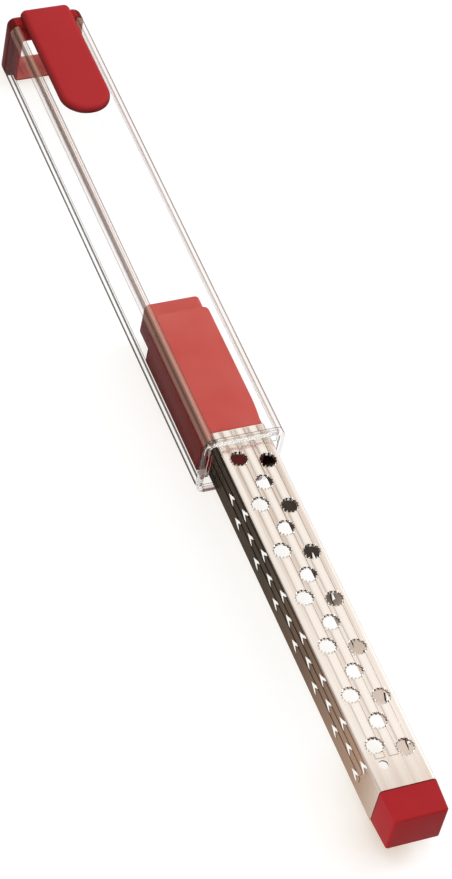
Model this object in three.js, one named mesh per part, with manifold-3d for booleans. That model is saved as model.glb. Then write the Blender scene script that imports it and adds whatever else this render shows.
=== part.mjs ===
// Pocket grater: a folded steel grater on a red block that slides out of a clear case.
// Lengths are millimetres. X runs across, Y along the case towards its clip, Z up from its back.
// The part is laid out with the mouth of the case at y = 0, and is centred along Y at the end.

import * as THREE from "three";
import { mergeVertices } from "three/addons/utils/BufferGeometryUtils.js";
import Module from "manifold-3d";

const wasm = await Module();
wasm.setup();

// Clearances
const SEAT_GAP = 0.3; // between pieces that rest against each other
const SLIP_GAP = 0.5; // between pieces that slide past each other
const CUT_PAST = 2; // how far a cutter runs beyond the face it leaves by

// Clear case
const CASE_WIDTH = 25.2;
const CASE_DEPTH = 22.4;
const CASE_LENGTH = 178.2;
const CASE_WALL = 1.7;
const CASE_CORNER = 2.8;
const RIB_SETBACK = 0.8; // from the mouth to the stop ribs
const RIB_LENGTH = 5.5;
const RIB_HEIGHT = 10;

// End cap
const FLANGE_LENGTH = 4.9;
const FLANGE_ROUND = 2.3;
const SLEEVE_WALL = 1;
const SLEEVE_LENGTH = 4.6;

// Pocket clip
const CLIP_WIDTH = 16.5;
const CLIP_LENGTH = 47.8;
const CLIP_THICK = 1.8;
const CLIP_LIFT = 1; // room for cloth between the clip and the case
const CLIP_NOSE = 7.8;
const CLIP_EDGE = 0.5;
const CLIP_BEND = 3.4;
const CLIP_ROOT = 4.9;
const PEG_WIDTH = 10;
const PEG_LENGTH = 2.8;
const PEG_DEPTH = 2;

// Grater blade
const BLADE_WIDTH = 17;
const BLADE_DEPTH = 14.4;
const BLADE_LENGTH = 128.4;
const BLADE_DROP = 2.8; // from the front of the case down to the front of the blade
const SHEET = 0.5;
const FOLD_RADIUS = 1;
const STAR_TEETH = 14;
const STAR_TIP_RADIUS = 2.75;
const STAR_ROOT_RADIUS = 2.3;
const STAR_COLUMN = 4.12; // from the middle column to an outer one
const STAR_START = 12.3; // from the top end of the blade to the level of the first row
const STAR_TAIL = 12.9; // from the level of the last row to the free end
const STAR_STAGGER = 1.23; // how far the left column stands above that level, and the right below
const STAR_ROWS = 7; // in an outer column
const RIDGE_WIDTH = 3.4;
const RIDGE_RISE = 0.3;
const RIDGE_TAIL = 9.2; // plain sheet between the ridges and the free end
const CHEVRON_ROWS = 7;
const CHEVRON_SPAN = 2.8;
const CHEVRON_RISE = 1.6;
const CHEVRON_BAND = 1.1;
const CHEVRON_SPACING = 3.5; // between columns
const CHEVRON_MIDDLE = 5.9; // from the front of the blade to the middle column
const CHEVRON_START = 18.3; // from the top end of the blade to the first tip
const CHEVRON_TAIL = 20.5; // from the last tip of the middle column to the free end
const CHEVRON_FRONT_LAG = 8.7;
const CHEVRON_BACK_LAG = 6.3;
const EYE_RADIUS = 1.4;
const EYE_TAIL = 7.8; // from the hole to the free end of the blade

// Slider block
const BODY_LENGTH = 54.4;
const BODY_WIDTH = 17.8;
const BODY_CORNER = 1.6;
const PAD_LENGTH = 47.6;
const PAD_WIDTH = 17.4;
const PAD_RISE = 2.7;
const PAD_NECK_MARGIN = 0.1; // on each side of the tongue, where the pad is narrowest
const PAD_NECK_LENGTH = 10.5;
const PAD_CORNER = 1.5;
const PAD_EDGE = 0.5;
const BLOCK_RELIEF = 0.4; // from the block to the inside of the sleeve
const RAIL_LENGTH = 28.6;
const RAIL_HEIGHT = 11.9;
const TONGUE_LENGTH = 7.6;
const TONGUE_ROOT = 3; // how far the tongue runs into the block
const TONGUE_RELIEF = 0.4; // from the tongue and the plug to the open back of the blade

// Tip cap
const TIP_LENGTH = 9.8;
const TIP_ROUND = 0.7;
const TIP_DRAFT = 0.4;
const PLUG_LENGTH = 5.4;

const CURVE_STEPS = 5;
const BEVEL_STEPS = 3;

// Levels and places worked out from the sizes above
const caseFront = CASE_DEPTH;
const caseMiddle = CASE_DEPTH / 2;
const innerWidth = CASE_WIDTH - 2 * CASE_WALL;
const innerDepth = CASE_DEPTH - 2 * CASE_WALL;
const innerCorner = CASE_CORNER - CASE_WALL;
const flangeStart = CASE_LENGTH + SEAT_GAP;
const capEnd = flangeStart + FLANGE_LENGTH;
const sleeveStart = flangeStart - SLEEVE_LENGTH;
const sleeveWidth = innerWidth - 2 * SEAT_GAP;
const sleeveDepth = innerDepth - 2 * SEAT_GAP;
const boreWidth = sleeveWidth - 2 * SLEEVE_WALL;
const boreDepth = sleeveDepth - 2 * SLEEVE_WALL;
const bladeFront = CASE_DEPTH - BLADE_DROP;
const bladeBack = bladeFront - BLADE_DEPTH;
const blockStart = RIB_SETBACK + RIB_LENGTH + SEAT_GAP;
const bladeTop = blockStart - SEAT_GAP;
const bladeEnd = bladeTop - BLADE_LENGTH;
const tipTop = bladeEnd - SEAT_GAP;
const tipEnd = tipTop - TIP_LENGTH;
const blockBack = caseMiddle - boreDepth / 2 + BLOCK_RELIEF;
const padFront = caseMiddle + boreDepth / 2 - BLOCK_RELIEF;
const bodyFront = padFront - PAD_RISE;
const railBack = CASE_WALL + SLIP_GAP;
const ribInner = BLADE_WIDTH / 2 + SLIP_GAP + RIDGE_RISE;
const holdWidth = BLADE_WIDTH - 2 * SHEET - 2 * SEAT_GAP;
const holdFront = bladeFront - SHEET - SEAT_GAP;
const holdBack = bladeBack + TONGUE_RELIEF;
const starPitch = (BLADE_LENGTH - STAR_START - STAR_TAIL) / (STAR_ROWS - 1);
const chevronPitch = (BLADE_LENGTH - CHEVRON_START - CHEVRON_TAIL) / (CHEVRON_ROWS - 1);
const clipUnder = caseFront + CLIP_LIFT;
const clipFront = clipUnder + CLIP_THICK;
const clipEnd = capEnd - CLIP_LENGTH;

const axisX = new THREE.Vector3(1, 0, 0);
const axisY = new THREE.Vector3(0, 1, 0);
const axisZ = new THREE.Vector3(0, 0, 1);

/** Turns a closed three.js geometry into a solid that can be cut and joined. */
function solid(geometry) {
  const bare = geometry.clone();
  bare.deleteAttribute("normal");
  bare.deleteAttribute("uv");
  const welded = mergeVertices(bare);
  return new wasm.Manifold(
    new wasm.Mesh({
      numProp: 3,
      vertProperties: new Float32Array(welded.attributes.position.array),
      triVerts: new Uint32Array(welded.index.array),
    }),
  );
}

/** Turns a solid back into a three.js geometry. */
function geometryOf(body) {
  const mesh = body.getMesh();
  const geometry = new THREE.BufferGeometry();
  geometry.setAttribute("position", new THREE.BufferAttribute(mesh.vertProperties, mesh.numProp));
  geometry.setIndex(new THREE.BufferAttribute(mesh.triVerts, 1));
  geometry.computeVertexNormals();
  return geometry;
}

/** A rectangle with rounded corners, centred on its own origin. */
function roundedRect(width, height, radius) {
  const x = width / 2;
  const y = height / 2;
  const shape = new THREE.Shape();
  shape.moveTo(x, radius - y);
  shape.absarc(x - radius, y - radius, radius, 0, Math.PI / 2);
  shape.absarc(radius - x, y - radius, radius, Math.PI / 2, Math.PI);
  shape.absarc(radius - x, radius - y, radius, Math.PI, 1.5 * Math.PI);
  shape.absarc(x - radius, radius - y, radius, 1.5 * Math.PI, 2 * Math.PI);
  return shape;
}

/** Extrudes a shape by length, with a rounded edge at both ends when round is given. */
function extruded(shape, length, round = 0) {
  return new THREE.ExtrudeGeometry(shape, {
    depth: length - 2 * round,
    curveSegments: CURVE_STEPS,
    bevelEnabled: round > 0,
    bevelThickness: round,
    bevelSize: round,
    bevelOffset: -round,
    bevelSegments: BEVEL_STEPS,
  }).translate(0, 0, round);
}

/** A prism along Y from start to end; the shape is drawn in X and Z about the level given. */
function prismY(shape, start, end, level, round = 0) {
  const turn = new THREE.Matrix4().makeBasis(axisX, axisZ, axisY.clone().negate());
  return extruded(shape, end - start, round).applyMatrix4(turn).translate(0, end, level);
}

/** A prism along Z from low to high; the shape is drawn in X and Y. */
function prismZ(shape, low, high, round = 0) {
  return extruded(shape, high - low, round).translate(0, 0, low);
}

/** A prism along X, centred on x = 0; the shape is drawn in Y and Z. */
function prismX(shape, width) {
  const turn = new THREE.Matrix4().makeBasis(axisY, axisZ, axisX);
  return extruded(shape, width).translate(0, 0, -width / 2).applyMatrix4(turn);
}

/** A box between two limits on each axis. */
function block(xLow, xHigh, yLow, yHigh, zLow, zHigh) {
  const box = new THREE.BoxGeometry(xHigh - xLow, yHigh - yLow, zHigh - zLow);
  return box.translate((xLow + xHigh) / 2, (yLow + yHigh) / 2, (zLow + zHigh) / 2);
}

/** A box that is as wide to the left of x = 0 as to the right. */
function middleBlock(width, yLow, yHigh, zLow, zHigh) {
  return block(-width / 2, width / 2, yLow, yHigh, zLow, zHigh);
}

function clearCase() {
  const outside = roundedRect(CASE_WIDTH, CASE_DEPTH, CASE_CORNER);
  const inside = roundedRect(innerWidth, innerDepth, innerCorner);
  let body = solid(prismY(outside, 0, CASE_LENGTH, caseMiddle));
  body = body.subtract(solid(prismY(inside, -CUT_PAST, CASE_LENGTH + CUT_PAST, caseMiddle)));
  const ribOuter = (innerWidth + CASE_WALL) / 2;
  const ribLow = caseMiddle - RIB_HEIGHT / 2;
  const ribEnd = RIB_SETBACK + RIB_LENGTH;
  const rib = solid(block(ribInner, ribOuter, RIB_SETBACK, ribEnd, ribLow, ribLow + RIB_HEIGHT));
  return body.add(rib).add(rib.mirror(axisX.toArray()));
}

function capFlange() {
  const outline = roundedRect(CASE_WIDTH, CASE_DEPTH, CASE_CORNER);
  const rounded = solid(prismY(outline, flangeStart - CUT_PAST * 2, capEnd, caseMiddle, FLANGE_ROUND));
  const below = middleBlock(2 * CASE_WIDTH, 0, flangeStart, -CASE_DEPTH, 2 * CASE_DEPTH);
  return rounded.subtract(solid(below));
}

function endCap() {
  const sleeveShape = roundedRect(sleeveWidth, sleeveDepth, innerCorner);
  const boreShape = roundedRect(boreWidth, boreDepth, innerCorner / 2);
  const sleeve = solid(prismY(sleeveShape, sleeveStart, flangeStart + CUT_PAST, caseMiddle));
  const bore = solid(prismY(boreShape, sleeveStart - CUT_PAST, capEnd + CUT_PAST, caseMiddle));
  const pegMiddle = capEnd - CLIP_ROOT / 2;
  const pocketHalf = PEG_LENGTH / 2 + SEAT_GAP;
  const pocket = middleBlock(
    PEG_WIDTH + 2 * SEAT_GAP,
    pegMiddle - pocketHalf,
    pegMiddle + pocketHalf,
    caseFront - PEG_DEPTH - SEAT_GAP,
    caseFront + CUT_PAST,
  );
  const shell = capFlange().add(sleeve).subtract(bore);
  return shell.subtract(solid(pocket));
}

function clipPlan() {
  const x = CLIP_WIDTH / 2;
  const shape = new THREE.Shape();
  shape.moveTo(x, capEnd);
  shape.lineTo(-x, capEnd);
  shape.absarc(CLIP_NOSE - x, clipEnd + CLIP_NOSE, CLIP_NOSE, Math.PI, 1.5 * Math.PI);
  shape.absarc(x - CLIP_NOSE, clipEnd + CLIP_NOSE, CLIP_NOSE, 1.5 * Math.PI, 2 * Math.PI);
  return shape;
}

function clipProfile() {
  const shape = new THREE.Shape();
  shape.moveTo(clipEnd - CUT_PAST, caseFront - PEG_DEPTH);
  shape.lineTo(capEnd, caseFront - PEG_DEPTH);
  shape.absarc(capEnd - CLIP_BEND, clipFront - CLIP_BEND, CLIP_BEND, 0, Math.PI / 2);
  shape.lineTo(clipEnd - CUT_PAST, clipFront);
  return shape;
}

function pocketClip() {
  const rootStart = capEnd - CLIP_ROOT;
  const pegMiddle = capEnd - CLIP_ROOT / 2;
  const rootFoot = caseFront + SEAT_GAP;
  const leaf = solid(prismZ(clipPlan(), clipUnder, clipFront, CLIP_EDGE));
  const rootWidth = CLIP_WIDTH - 2 * CLIP_EDGE;
  const root = middleBlock(rootWidth, rootStart, capEnd, rootFoot, clipFront - CLIP_EDGE);
  const peg = middleBlock(
    PEG_WIDTH,
    pegMiddle - PEG_LENGTH / 2,
    pegMiddle + PEG_LENGTH / 2,
    caseFront - PEG_DEPTH,
    clipUnder + CLIP_EDGE,
  );
  const body = leaf.add(solid(root)).add(solid(peg));
  return body.intersect(solid(prismX(clipProfile(), CASE_WIDTH)));
}

function channelShape() {
  const x = BLADE_WIDTH / 2;
  const inner = x - SHEET;
  const innerRadius = FOLD_RADIUS - SHEET;
  const foldLevel = bladeFront - FOLD_RADIUS;
  const shape = new THREE.Shape();
  shape.moveTo(x, bladeBack);
  shape.absarc(x - FOLD_RADIUS, foldLevel, FOLD_RADIUS, 0, Math.PI / 2);
  shape.absarc(FOLD_RADIUS - x, foldLevel, FOLD_RADIUS, Math.PI / 2, Math.PI);
  shape.lineTo(-x, bladeBack);
  shape.lineTo(-inner, bladeBack);
  shape.absarc(FOLD_RADIUS - x, foldLevel, innerRadius, Math.PI, Math.PI / 2, true);
  shape.absarc(x - FOLD_RADIUS, foldLevel, innerRadius, Math.PI / 2, 0, true);
  shape.lineTo(inner, bladeBack);
  return shape;
}

function starShape() {
  const shape = new THREE.Shape();
  const corners = 2 * STAR_TEETH;
  for (let i = 0; i < corners; i += 1) {
    const radius = i % 2 === 0 ? STAR_TIP_RADIUS : STAR_ROOT_RADIUS;
    const angle = (i / corners) * 2 * Math.PI;
    const x = radius * Math.cos(angle);
    const y = radius * Math.sin(angle);
    if (i === 0) {
      shape.moveTo(x, y);
    } else {
      shape.lineTo(x, y);
    }
  }
  return shape;
}

/** Star places: staggered outer columns, and a middle column half a pitch further down. */
function starPlaces() {
  const places = [];
  const level = bladeTop - STAR_START;
  for (let row = 0; row < STAR_ROWS; row += 1) {
    const y = level - row * starPitch;
    places.push([-STAR_COLUMN, y + STAR_STAGGER]);
    places.push([STAR_COLUMN, y - STAR_STAGGER]);
    if (row < STAR_ROWS - 1) {
      places.push([0, y - starPitch / 2]);
    }
  }
  return places;
}

/** A chevron in Y and Z with its tip at the origin, pointing to +Y. */
function chevronShape() {
  const half = CHEVRON_SPAN / 2;
  const shape = new THREE.Shape();
  shape.moveTo(0, 0);
  shape.lineTo(-CHEVRON_RISE, half);
  shape.lineTo(-CHEVRON_RISE - CHEVRON_BAND, half);
  shape.lineTo(-CHEVRON_BAND, 0);
  shape.lineTo(-CHEVRON_RISE - CHEVRON_BAND, -half);
  shape.lineTo(-CHEVRON_RISE, -half);
  return shape;
}

/** Chevron tips: three columns down the side, the outer two lagging the middle one. */
function chevronPlaces() {
  const places = [];
  const middle = bladeFront - CHEVRON_MIDDLE;
  for (let row = 0; row < CHEVRON_ROWS; row += 1) {
    const y = bladeTop - CHEVRON_START - row * chevronPitch;
    places.push([y, middle]);
    places.push([y - CHEVRON_FRONT_LAG, middle + CHEVRON_SPACING]);
    places.push([y - CHEVRON_BACK_LAG, middle - CHEVRON_SPACING]);
  }
  return places;
}

function graterBlade() {
  let body = solid(prismY(channelShape(), bladeEnd, bladeTop, 0));
  const ridgeFoot = bladeFront - SHEET / 2;
  const ridgeTop = bladeFront + RIDGE_RISE;
  const ridge = middleBlock(RIDGE_WIDTH, bladeEnd + RIDGE_TAIL, bladeTop, ridgeFoot, ridgeTop);
  for (const column of [-STAR_COLUMN, 0, STAR_COLUMN]) {
    body = body.add(solid(ridge.clone().translate(column, 0, 0)));
  }
  const star = solid(prismZ(starShape(), bladeFront - CUT_PAST, bladeFront + CUT_PAST));
  for (const [x, y] of starPlaces()) {
    body = body.subtract(star.translate([x, y, 0]));
  }
  const chevron = solid(prismX(chevronShape(), BLADE_WIDTH + CUT_PAST));
  for (const [y, z] of chevronPlaces()) {
    body = body.subtract(chevron.translate([0, y, z]));
  }
  const eye = new THREE.CylinderGeometry(EYE_RADIUS, EYE_RADIUS, CUT_PAST, 4 * CURVE_STEPS);
  eye.rotateX(Math.PI / 2).translate(-STAR_COLUMN, bladeEnd + EYE_TAIL, bladeFront);
  return body.subtract(solid(eye));
}

function padPlan() {
  const x = PAD_WIDTH / 2;
  const neck = holdWidth / 2 + PAD_NECK_MARGIN;
  const top = blockStart + PAD_LENGTH;
  const neckTop = blockStart + PAD_NECK_LENGTH;
  const bulge = blockStart + PAD_NECK_LENGTH / 2;
  const shape = new THREE.Shape();
  shape.moveTo(neck, blockStart);
  shape.quadraticCurveTo(x, bulge, x, neckTop);
  shape.absarc(x - PAD_CORNER, top - PAD_CORNER, PAD_CORNER, 0, Math.PI / 2);
  shape.absarc(PAD_CORNER - x, top - PAD_CORNER, PAD_CORNER, Math.PI / 2, Math.PI);
  shape.lineTo(-x, neckTop);
  shape.quadraticCurveTo(-x, bulge, -neck, blockStart);
  return shape;
}

function sliderBlock() {
  const bodyDepth = bodyFront - blockBack;
  const bodyMiddle = (bodyFront + blockBack) / 2;
  const bodyEnd = blockStart + BODY_LENGTH;
  const trunk = roundedRect(BODY_WIDTH, bodyDepth, BODY_CORNER);
  const body = solid(prismY(trunk, blockStart, bodyEnd, bodyMiddle));
  const pad = solid(prismZ(padPlan(), bodyMiddle, padFront, PAD_EDGE));
  const railWidth = innerWidth - 2 * SLIP_GAP;
  const railEnd = blockStart + RAIL_LENGTH;
  const rails = solid(middleBlock(railWidth, blockStart, railEnd, railBack, railBack + RAIL_HEIGHT));
  const tongueStart = blockStart - TONGUE_LENGTH;
  const tongueEnd = blockStart + TONGUE_ROOT;
  const tongue = solid(middleBlock(holdWidth, tongueStart, tongueEnd, holdBack, holdFront));
  return body.add(pad).add(rails).add(tongue);
}

function tipCap() {
  const shape = roundedRect(BLADE_WIDTH, BLADE_DEPTH, FOLD_RADIUS);
  const middle = (bladeFront + bladeBack) / 2;
  const rounded = prismY(shape, tipEnd, tipTop + CUT_PAST, middle, TIP_ROUND);
  const points = rounded.attributes.position;
  for (let i = 0; i < points.count; i += 1) {
    const share = (tipTop - points.getY(i)) / TIP_LENGTH;
    const shrink = 1 - (share * TIP_DRAFT) / (BLADE_WIDTH / 2);
    points.setX(i, points.getX(i) * shrink);
    points.setZ(i, middle + (points.getZ(i) - middle) * shrink);
  }
  const above = middleBlock(2 * BLADE_WIDTH, tipTop, tipTop + 2 * CUT_PAST, 0, caseFront);
  const head = solid(rounded).subtract(solid(above));
  const plug = middleBlock(holdWidth, tipTop - CUT_PAST, tipTop + PLUG_LENGTH, holdBack, holdFront);
  return head.add(solid(plug));
}

const clear = new THREE.MeshStandardMaterial({
  color: 0xf2f3f1,
  roughness: 0.05,
  transparent: true,
  opacity: 0.3,
});
const red = new THREE.MeshStandardMaterial({ color: 0xa92a2e, roughness: 0.35 });
const softRed = new THREE.MeshStandardMaterial({ color: 0xba373a, roughness: 0.7 });
const steel = new THREE.MeshStandardMaterial({ color: 0xd8d2cb, metalness: 1, roughness: 0.3 });

const group = new THREE.Group();
const centreShift = -(capEnd + tipEnd) / 2;

function place(name, body, material) {
  const geometry = geometryOf(body).translate(0, centreShift, 0);
  const mesh = new THREE.Mesh(geometry, material);
  mesh.name = name;
  group.add(mesh);
}

place("clear_case", clearCase(), clear);
place("end_cap", endCap(), red);
place("pocket_clip", pocketClip(), softRed);
place("slider_block", sliderBlock(), red);
place("grater_blade", graterBlade(), steel);
place("tip_cap", tipCap(), red);

export default group;
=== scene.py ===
"""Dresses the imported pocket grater: modelled pieces, finishes, light, floor and camera."""

import logging
import math
from collections.abc import Callable, Sequence
from dataclasses import dataclass
from enum import Enum, IntEnum
from functools import partial

import bpy
from mathutils import Matrix, Vector


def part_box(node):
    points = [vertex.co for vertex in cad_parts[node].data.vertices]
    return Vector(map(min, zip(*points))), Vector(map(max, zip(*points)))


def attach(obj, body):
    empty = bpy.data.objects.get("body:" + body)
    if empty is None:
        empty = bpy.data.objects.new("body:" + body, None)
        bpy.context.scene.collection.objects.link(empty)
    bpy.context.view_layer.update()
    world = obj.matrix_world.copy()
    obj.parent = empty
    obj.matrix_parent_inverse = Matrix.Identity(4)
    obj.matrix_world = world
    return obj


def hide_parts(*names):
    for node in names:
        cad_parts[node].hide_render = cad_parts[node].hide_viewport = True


LOG = logging.getLogger("pocket_grater")
MM = 0.001
NEAR = 1e-6  # places closer than this count as one
FACING = 0.9  # share of a normal along an axis that counts as facing it
SMOOTH_BELOW = math.radians(32)

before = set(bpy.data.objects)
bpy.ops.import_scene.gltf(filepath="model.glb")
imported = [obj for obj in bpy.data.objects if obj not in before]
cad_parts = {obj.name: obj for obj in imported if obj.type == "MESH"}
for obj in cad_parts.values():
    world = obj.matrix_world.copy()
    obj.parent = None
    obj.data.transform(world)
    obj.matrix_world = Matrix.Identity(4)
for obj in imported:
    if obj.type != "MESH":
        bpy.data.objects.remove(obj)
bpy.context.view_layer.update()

Colour = tuple[float, float, float, float]
Stops = tuple[tuple[float, Colour], ...]
Triple = Sequence[float]
Test = Callable[..., bool]


def linear(level: int) -> float:
    """Undoes the display curve for one level of 0 to 255."""
    share = level / 255
    return share / 12.92 if share <= 0.04045 else ((share + 0.055) / 1.055) ** 2.4


def srgb(red: int, green: int, blue: int) -> Colour:
    """Turns a display colour of 0 to 255 into a linear one with full alpha."""
    return linear(red), linear(green), linear(blue), 1.0


BLACK = srgb(0, 0, 0)


def everywhere(centre: Vector, normal: Vector) -> bool:
    """Picks every face."""
    return True


def upward(centre: Vector, normal: Vector) -> bool:
    """Picks the faces that face up."""
    return normal.z > FACING


class Part(Enum):
    """What a selection picks in edit mode, with Blender's select mode for it."""

    VERT = (True, False, False)
    EDGE = (False, True, False)
    FACE = (False, False, True)


class Body(Enum):
    """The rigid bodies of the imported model."""

    CASE = "case"
    CLIP = "clip"
    GRATER = "grater"


class Steps(IntEnum):
    """Number of faces across a round."""

    TRIM = 2
    EDGE = 3
    BORE = 4
    FOLD = 5
    ROUND = 6
    BEND = 7
    CORNER = 8
    NOSE = 14


class Bench:
    """Modelling steps on one mesh object, as they would be done by hand."""

    def __init__(self, obj: bpy.types.Object) -> None:
        """Keeps the object that the steps act on."""
        self.obj = obj

    @staticmethod
    def clear() -> None:
        """Leaves edit mode and deselects everything."""
        if bpy.context.object and bpy.context.object.mode != "OBJECT":
            bpy.ops.object.mode_set(mode="OBJECT")
        bpy.ops.object.select_all(action="DESELECT")

    @classmethod
    def box(cls, name: str, corner: Triple, opposite: Triple) -> "Bench":
        """Adds a cuboid between two opposite corners.

        Args:
            name: Its name.
            corner: One corner.
            opposite: The corner across from it.

        Returns:
            A bench that holds the cuboid.
        """
        cls.clear()
        corner, opposite = Vector(corner), Vector(opposite)
        bpy.ops.mesh.primitive_cube_add(size=1, location=(corner + opposite) / 2)
        obj = bpy.context.active_object
        obj.scale = [abs(side) for side in opposite - corner]
        return cls(obj).named(name).settled()

    @classmethod
    def drum(cls, name: str, centre: Triple, radius: float, depth: float, sides: int) -> "Bench":
        """Adds an upright cylinder.

        Args:
            name: Its name.
            centre: Middle of the cylinder.
            radius: Radius to its corners.
            depth: Height along Z.
            sides: Number of sides.

        Returns:
            A bench that holds the cylinder.
        """
        cls.clear()
        add = bpy.ops.mesh.primitive_cylinder_add
        add(vertices=sides, radius=radius, depth=depth, location=centre)
        return cls(bpy.context.active_object).named(name).settled()

    def named(self, name: str) -> "Bench":
        """Names the object and its mesh."""
        self.obj.name = self.obj.data.name = name
        return self

    def hold(self) -> None:
        """Makes the object the only selected and the active one."""
        self.clear()
        self.obj.select_set(True)
        bpy.context.view_layer.objects.active = self.obj

    def settled(self) -> "Bench":
        """Moves the object's place, turn and scale into its mesh.

        Returns:
            This bench.
        """
        self.hold()
        bpy.ops.object.transform_apply(location=True, rotation=True, scale=True)
        return self

    def edit(self, part: Part, test: Test, *steps: Callable[[], object]) -> "Bench":
        """Runs steps in edit mode on the elements that a test picks.

        Args:
            part: Kind of element to pick.
            test: Takes a vertex's place, an edge's two places or a face's centre and normal.
            steps: Blender's steps, in order.

        Returns:
            This bench.
        """
        self.hold()
        bpy.context.tool_settings.mesh_select_mode = part.value
        mesh = self.obj.data
        for group in (mesh.vertices, mesh.edges, mesh.polygons):
            group.foreach_set("select", [False] * len(group))
        if part is Part.VERT:
            for vert in mesh.vertices:
                vert.select = test(vert.co)
        elif part is Part.EDGE:
            for edge in mesh.edges:
                edge.select = test(*(mesh.vertices[i].co for i in edge.vertices))
        else:
            for face in mesh.polygons:
                face.select = test(face.center, face.normal)
        bpy.ops.object.mode_set(mode="EDIT")
        for step in steps:
            step()
        bpy.ops.object.mode_set(mode="OBJECT")
        return self

    def split(self, place: Triple, normal: Triple) -> "Bench":
        """Cuts all faces along a plane."""
        step = partial(bpy.ops.mesh.bisect, plane_co=place, plane_no=normal)
        return self.edit(Part.FACE, everywhere, step)

    def shift(self, part: Part, test: Test, move: Triple) -> "Bench":
        """Moves the elements that a test picks."""
        return self.edit(part, test, partial(bpy.ops.transform.translate, value=move))

    def stretch(self, part: Part, test: Test, scale: Triple, centre: Triple) -> "Bench":
        """Scales the elements that a test picks about a centre."""
        step = partial(bpy.ops.transform.resize, value=scale, center_override=centre)
        return self.edit(part, test, step)

    def round_edges(self, test: Test, radius: float, steps: int) -> "Bench":
        """Rounds the edges that a test picks, with a number of faces across the round."""
        step = partial(bpy.ops.mesh.bevel, offset=radius, segments=steps)
        return self.edit(Part.EDGE, test, step)

    def round_along_y(self, radius: float, steps: int, above: float = -math.inf) -> "Bench":
        """Rounds the edges that run along Y and lie above a level."""
        return self.round_edges(
            lambda a, b: abs(a.y - b.y) > NEAR and abs(a.x - b.x) < NEAR and a.z > above,
            radius,
            steps,
        )

    def modify(self, kind: str, **settings: object) -> "Bench":
        """Adds a modifier and applies it.

        Args:
            kind: Blender's type name of the modifier.
            settings: Its properties.

        Returns:
            This bench.
        """
        modifier = self.obj.modifiers.new(kind, kind)
        for key, value in settings.items():
            setattr(modifier, key, value)
        self.hold()
        bpy.ops.object.modifier_apply(modifier=modifier.name)
        return self

    def soften(self, radius: float, steps: int, angle: float = 30.0) -> "Bench":
        """Rounds every edge that is sharper than an angle in degrees."""
        sharp = {"limit_method": "ANGLE", "angle_limit": math.radians(angle)}
        return self.modify("BEVEL", width=radius, segments=steps, **sharp)

    def round_rim(self, level: float, radius: float, steps: int) -> "Bench":
        """Rounds both edges of the ring-shaped rim that lies at one level along Y."""
        bevel = partial(bpy.ops.mesh.bevel, offset=radius, segments=steps)
        return self.edit(
            Part.FACE,
            lambda centre, normal: abs(centre.y - level) < NEAR,
            bpy.ops.mesh.region_to_loop,
            bevel,
        )

    def combine(self, other: "Bench", operation: str) -> "Bench":
        """Joins another solid to this one, or cuts it away, and removes the other.

        Args:
            other: The second solid.
            operation: UNION, DIFFERENCE or INTERSECT.

        Returns:
            This bench.
        """
        how = {"operation": operation, "solver": "EXACT", "material_mode": "TRANSFER"}
        self.modify("BOOLEAN", object=other.obj, **how)
        bpy.data.objects.remove(other.obj)
        return self

    def spread(self, name: str, moves: Sequence[Matrix]) -> "Bench":
        """Puts a copy at each place, joins the copies and removes the original.

        Args:
            name: Name of the joined copies.
            moves: How each copy is moved; a mirrored one is turned right side out.

        Returns:
            A bench that holds the copies.
        """
        copies = []
        for move in moves:
            twin = self.obj.copy()
            twin.data = self.obj.data.copy()
            twin.data.transform(move)
            bpy.context.scene.collection.objects.link(twin)
            bench = Bench(twin).named(name)
            if move.determinant() < 0:
                bench.edit(Part.FACE, everywhere, bpy.ops.mesh.normals_make_consistent)
            copies.append(bench)
        bpy.data.objects.remove(self.obj)
        return self.merged(copies)

    @staticmethod
    def merged(benches: Sequence["Bench"]) -> "Bench":
        """Joins several objects into the first of them, as loose shells.

        Args:
            benches: The objects.

        Returns:
            The first bench.
        """
        benches[0].hold()
        for other in benches[1:]:
            other.obj.select_set(True)
        bpy.ops.object.join()
        return benches[0]

    def smooth(self) -> "Bench":
        """Shades smoothly across blunt edges.

        Returns:
            This bench.
        """
        self.hold()
        bpy.ops.object.shade_smooth_by_angle(angle=SMOOTH_BELOW)
        return self


Value = "Wire | float"


def arithmetic(operation: str, swapped: bool = False) -> Callable[..., "Wire"]:
    """Makes a method that adds one Math node.

    Args:
        operation: Blender's name of the operation.
        swapped: True where the wire comes second.

    Returns:
        The method.
    """

    def method(wire: "Wire", other: Value = 0.0) -> "Wire":
        """Adds the node."""
        first, second = (other, wire) if swapped else (wire, other)
        return wire.graph.node("Math", {0: first, 1: second}, operation=operation)

    return method


class Wire:
    """A number in a node tree; arithmetic on it adds Math nodes."""

    __add__ = __radd__ = arithmetic("ADD")
    __sub__ = arithmetic("SUBTRACT")
    __rsub__ = arithmetic("SUBTRACT", swapped=True)
    __mul__ = __rmul__ = arithmetic("MULTIPLY")
    __truediv__ = arithmetic("DIVIDE")
    __abs__ = arithmetic("ABSOLUTE")
    above = arithmetic("GREATER_THAN")
    below = arithmetic("LESS_THAN")
    at_least = arithmetic("MAXIMUM")
    at_most = arithmetic("MINIMUM")
    cosine = arithmetic("COSINE")

    def __init__(self, graph: "Graph", socket: bpy.types.NodeSocket) -> None:
        """Keeps the socket and the graph that it belongs to."""
        self.graph = graph
        self.socket = socket

    def wave(self) -> "Wire":
        """A wave from one to zero and back over each whole step of the value."""
        return (self * (2 * math.pi)).cosine() * 0.5 + 0.5

    def clamped(self) -> "Wire":
        """The value held between zero and one."""
        return self.at_least(0.0).at_most(1.0)


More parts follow.
